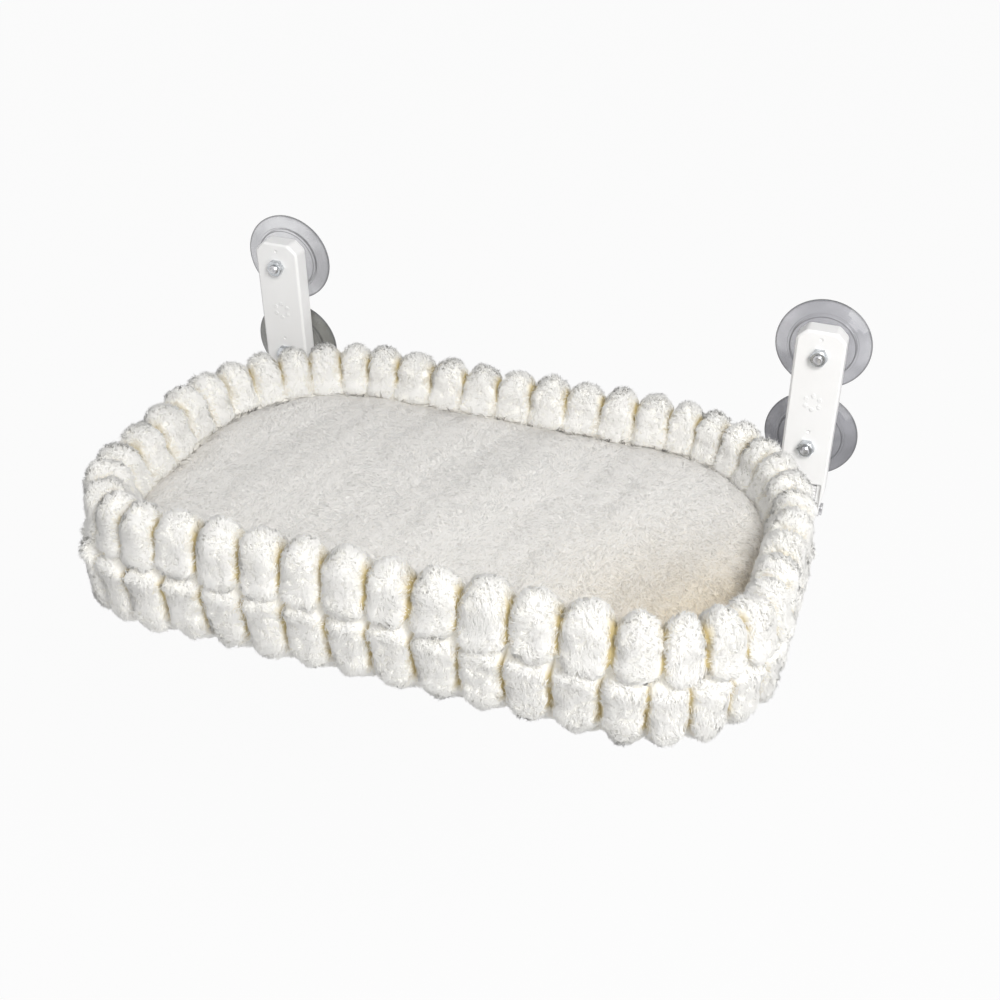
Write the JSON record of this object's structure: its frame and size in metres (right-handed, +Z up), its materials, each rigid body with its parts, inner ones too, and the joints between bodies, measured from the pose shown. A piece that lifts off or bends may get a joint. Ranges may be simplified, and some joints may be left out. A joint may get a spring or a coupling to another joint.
{
  "type": "window mounted cat perch",
  "caption": "Fold-down cat bed with a ribbed plush rim on a tube frame, held to a window pane by suction cups on two brackets.",
  "frame": {"origin": "centre of the four suction cups, on the window pane", "axes": "+Y into the pane, +Z up, +X to the right as seen from the room"},
  "size_m": [0.57, 0.357, 0.2025],
  "materials": {
    "bracket_plastic": "satin",
    "cup_vinyl": "gloss",
    "stud_steel": "satin",
    "nut_zinc": "satin",
    "pin_steel": "satin",
    "cap_zinc": "satin",
    "spring_steel": "satin",
    "slide_plastic": "matte",
    "knuckle_coat": "satin",
    "frame_coat": "satin",
    "screw_zinc": "satin",
    "strap_webbing": "matte",
    "base_fabric": "matte",
    "board_wood": "matte",
    "cushion_fabric": "matte",
    "rib_plush": "matte",
    "mat_fleece": "matte"
  },
  "bodies": {
    "window_brackets": {"left_bracket": "bracket_plastic", "right_bracket": "bracket_plastic", "left_upper_cup": "cup_vinyl", "left_lower_cup": "cup_vinyl", "right_upper_cup": "cup_vinyl", "right_lower_cup": "cup_vinyl", "left_upper_stud": "stud_steel", "left_lower_stud": "stud_steel", "right_upper_stud": "stud_steel", "right_lower_stud": "stud_steel", "left_upper_nut": "nut_zinc", "left_lower_nut": "nut_zinc", "right_upper_nut": "nut_zinc", "right_lower_nut": "nut_zinc", "left_hinge_pin": "pin_steel", "right_hinge_pin": "pin_steel", "left_pin_cap": "cap_zinc", "right_pin_cap": "cap_zinc", "left_lock_spring": "spring_steel", "right_lock_spring": "spring_steel"},
    "left_lock": {"left_lock_slide": "slide_plastic"},
    "right_lock": {"right_lock_slide": "slide_plastic"},
    "bed": {"left_knuckle": "knuckle_coat", "right_knuckle": "knuckle_coat", "left_side_tube": "frame_coat", "right_side_tube": "frame_coat", "left_elbow": "frame_coat", "right_elbow": "frame_coat", "front_tube": "frame_coat", "rear_bar": "frame_coat", "frame_screws": "screw_zinc", "left_rear_strap": "strap_webbing", "left_front_strap": "strap_webbing", "right_rear_strap": "strap_webbing", "right_front_strap": "strap_webbing", "front_left_strap": "strap_webbing", "front_right_strap": "strap_webbing", "base_cloth": "base_fabric", "base_board": "board_wood", "base_cushion": "cushion_fabric", "lower_rib_ring": "rib_plush", "upper_rib_ring": "rib_plush", "sleeping_mat": "mat_fleece"}
  },
  "joints": [
    {"name": "bed_fold", "type": "hinge", "parent": "window_brackets", "child": "bed", "pos_m": [0, -0.016, -0.1075], "axis": [1, 0, 0], "range_deg": [0, 90]},
    {"name": "left_lock_lift", "type": "slide", "parent": "window_brackets", "child": "left_lock", "axis": [0, 0, 1], "range_m": [0, 0.005], "stiffness_N_per_m": 300, "springref_m": -0.004, "deforming": ["left_lock_spring"]},
    {"name": "right_lock_lift", "type": "slide", "parent": "window_brackets", "child": "right_lock", "axis": [0, 0, 1], "range_m": [0, 0.005], "stiffness_N_per_m": 300, "springref_m": -0.004, "deforming": ["right_lock_spring"]}
  ]
}
